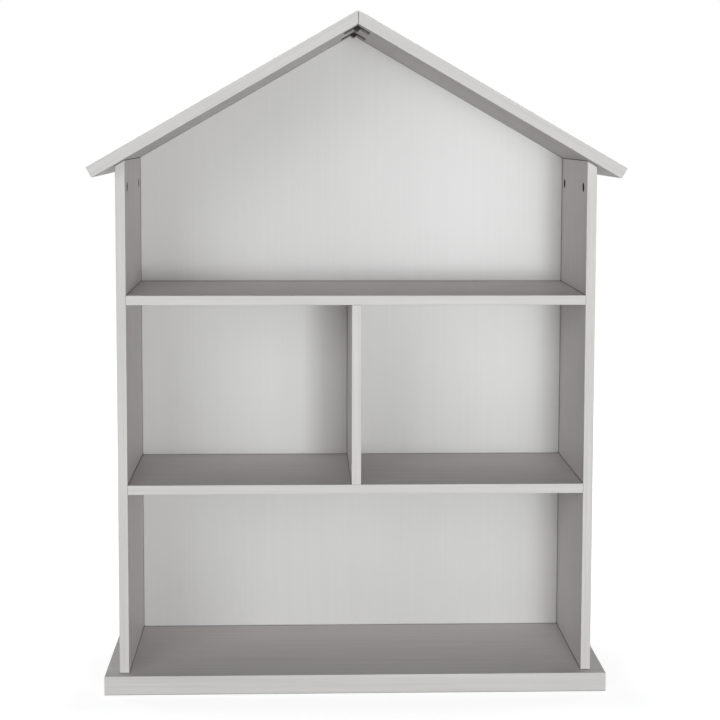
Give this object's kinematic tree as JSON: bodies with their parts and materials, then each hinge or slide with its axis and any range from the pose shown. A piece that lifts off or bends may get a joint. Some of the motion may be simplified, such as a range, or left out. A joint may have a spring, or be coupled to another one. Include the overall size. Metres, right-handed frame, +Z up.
{
  "type": "house shaped bookcase",
  "caption": "House shaped bookcase in painted boards: a hinged gable roof over an open attic, divided middle bays and a wide bottom bay, on a broad base.",
  "frame": {"origin": "on the floor, under the centre of the overall box: the ridge's plane and the middle of the roof's depth", "axes": "+Z up, the open front faces -Y, +X to the right as seen from the front"},
  "size_m": [0.8242, 0.305, 1.064],
  "materials": {
    "painted_board": "satin light grey paint over fibreboard",
    "painted_panel": "smooth light grey paint over thin fibreboard",
    "hinge_steel": "nickel-plated steel",
    "screw_steel": "zinc-plated steel",
    "cam_zinc": "dull die-cast zinc",
    "beech": "raw beech"
  },
  "bodies": {
    "cabinet": {"base_board": "painted_board", "base_front_rail": "painted_board", "base_rear_rail": "painted_board", "base_centre_rail": "painted_board", "base_left_rail": "painted_board", "base_right_rail": "painted_board", "side_left": "painted_board", "side_right": "painted_board", "shelf_lower": "painted_board", "shelf_upper": "painted_board", "divider": "painted_board", "roof_left": "painted_board", "roof_right": "painted_board", "back_panel": "painted_panel", "hinge_front_left_leaf": "hinge_steel", "hinge_front_right_leaf": "hinge_steel", "hinge_rear_left_leaf": "hinge_steel", "hinge_rear_right_leaf": "hinge_steel", "hinge_front_pin": "hinge_steel", "hinge_rear_pin": "hinge_steel", "hinge_screws": "screw_steel", "base_screws": "screw_steel", "divider_screws": "screw_steel", "back_panel_screws": "screw_steel", "roof_cam_bolts": "screw_steel", "shelf_cam_bolts": "screw_steel", "roof_dowels": "beech", "shelf_dowels": "beech", "base_dowels": "beech", "divider_dowels": "beech"},
    "roof_cam_front_left": {"roof_cam_front_left": "cam_zinc"},
    "roof_cam_front_right": {"roof_cam_front_right": "cam_zinc"},
    "roof_cam_rear_left": {"roof_cam_rear_left": "cam_zinc"},
    "roof_cam_rear_right": {"roof_cam_rear_right": "cam_zinc"},
    "upper_cam_front_left": {"upper_cam_front_left": "cam_zinc"},
    "upper_cam_front_right": {"upper_cam_front_right": "cam_zinc"},
    "upper_cam_rear_left": {"upper_cam_rear_left": "cam_zinc"},
    "upper_cam_rear_right": {"upper_cam_rear_right": "cam_zinc"},
    "lower_cam_front_left": {"lower_cam_front_left": "cam_zinc"},
    "lower_cam_front_right": {"lower_cam_front_right": "cam_zinc"},
    "lower_cam_rear_left": {"lower_cam_rear_left": "cam_zinc"},
    "lower_cam_rear_right": {"lower_cam_rear_right": "cam_zinc"}
  },
  "joints": [
    {"name": "roof_cam_front_left_turn", "type": "hinge", "parent": "cabinet", "child": "roof_cam_front_left", "pos_m": [-0.3575, -0.0755, 0.79515], "axis": [1, 0, 0], "range_deg": [0, 180]},
    {"name": "roof_cam_front_right_turn", "type": "hinge", "parent": "cabinet", "child": "roof_cam_front_right", "pos_m": [0.3575, -0.0755, 0.79515], "axis": [-1, 0, 0], "range_deg": [0, 180]},
    {"name": "roof_cam_rear_left_turn", "type": "hinge", "parent": "cabinet", "child": "roof_cam_rear_left", "pos_m": [-0.3575, 0.1155, 0.79515], "axis": [1, 0, 0], "range_deg": [0, 180]},
    {"name": "roof_cam_rear_right_turn", "type": "hinge", "parent": "cabinet", "child": "roof_cam_rear_right", "pos_m": [0.3575, 0.1155, 0.79515], "axis": [-1, 0, 0], "range_deg": [0, 180]},
    {"name": "upper_cam_front_left_turn", "type": "hinge", "parent": "cabinet", "child": "upper_cam_front_left", "pos_m": [-0.3235, -0.0755, 0.613], "axis": [0, 0, -1], "range_deg": [0, 180]},
    {"name": "upper_cam_front_right_turn", "type": "hinge", "parent": "cabinet", "child": "upper_cam_front_right", "pos_m": [0.3235, -0.0755, 0.613], "axis": [0, 0, -1], "range_deg": [0, 180]},
    {"name": "upper_cam_rear_left_turn", "type": "hinge", "parent": "cabinet", "child": "upper_cam_rear_left", "pos_m": [-0.3235, 0.1155, 0.613], "axis": [0, 0, -1], "range_deg": [0, 180]},
    {"name": "upper_cam_rear_right_turn", "type": "hinge", "parent": "cabinet", "child": "upper_cam_rear_right", "pos_m": [0.3235, 0.1155, 0.613], "axis": [0, 0, -1], "range_deg": [0, 180]},
    {"name": "lower_cam_front_left_turn", "type": "hinge", "parent": "cabinet", "child": "lower_cam_front_left", "pos_m": [-0.3235, -0.0755, 0.315], "axis": [0, 0, -1], "range_deg": [0, 180]},
    {"name": "lower_cam_front_right_turn", "type": "hinge", "parent": "cabinet", "child": "lower_cam_front_right", "pos_m": [0.3235, -0.0755, 0.315], "axis": [0, 0, -1], "range_deg": [0, 180]},
    {"name": "lower_cam_rear_left_turn", "type": "hinge", "parent": "cabinet", "child": "lower_cam_rear_left", "pos_m": [-0.3235, 0.1155, 0.315], "axis": [0, 0, -1], "range_deg": [0, 180]},
    {"name": "lower_cam_rear_right_turn", "type": "hinge", "parent": "cabinet", "child": "lower_cam_rear_right", "pos_m": [0.3235, 0.1155, 0.315], "axis": [0, 0, -1], "range_deg": [0, 180]}
  ]
}
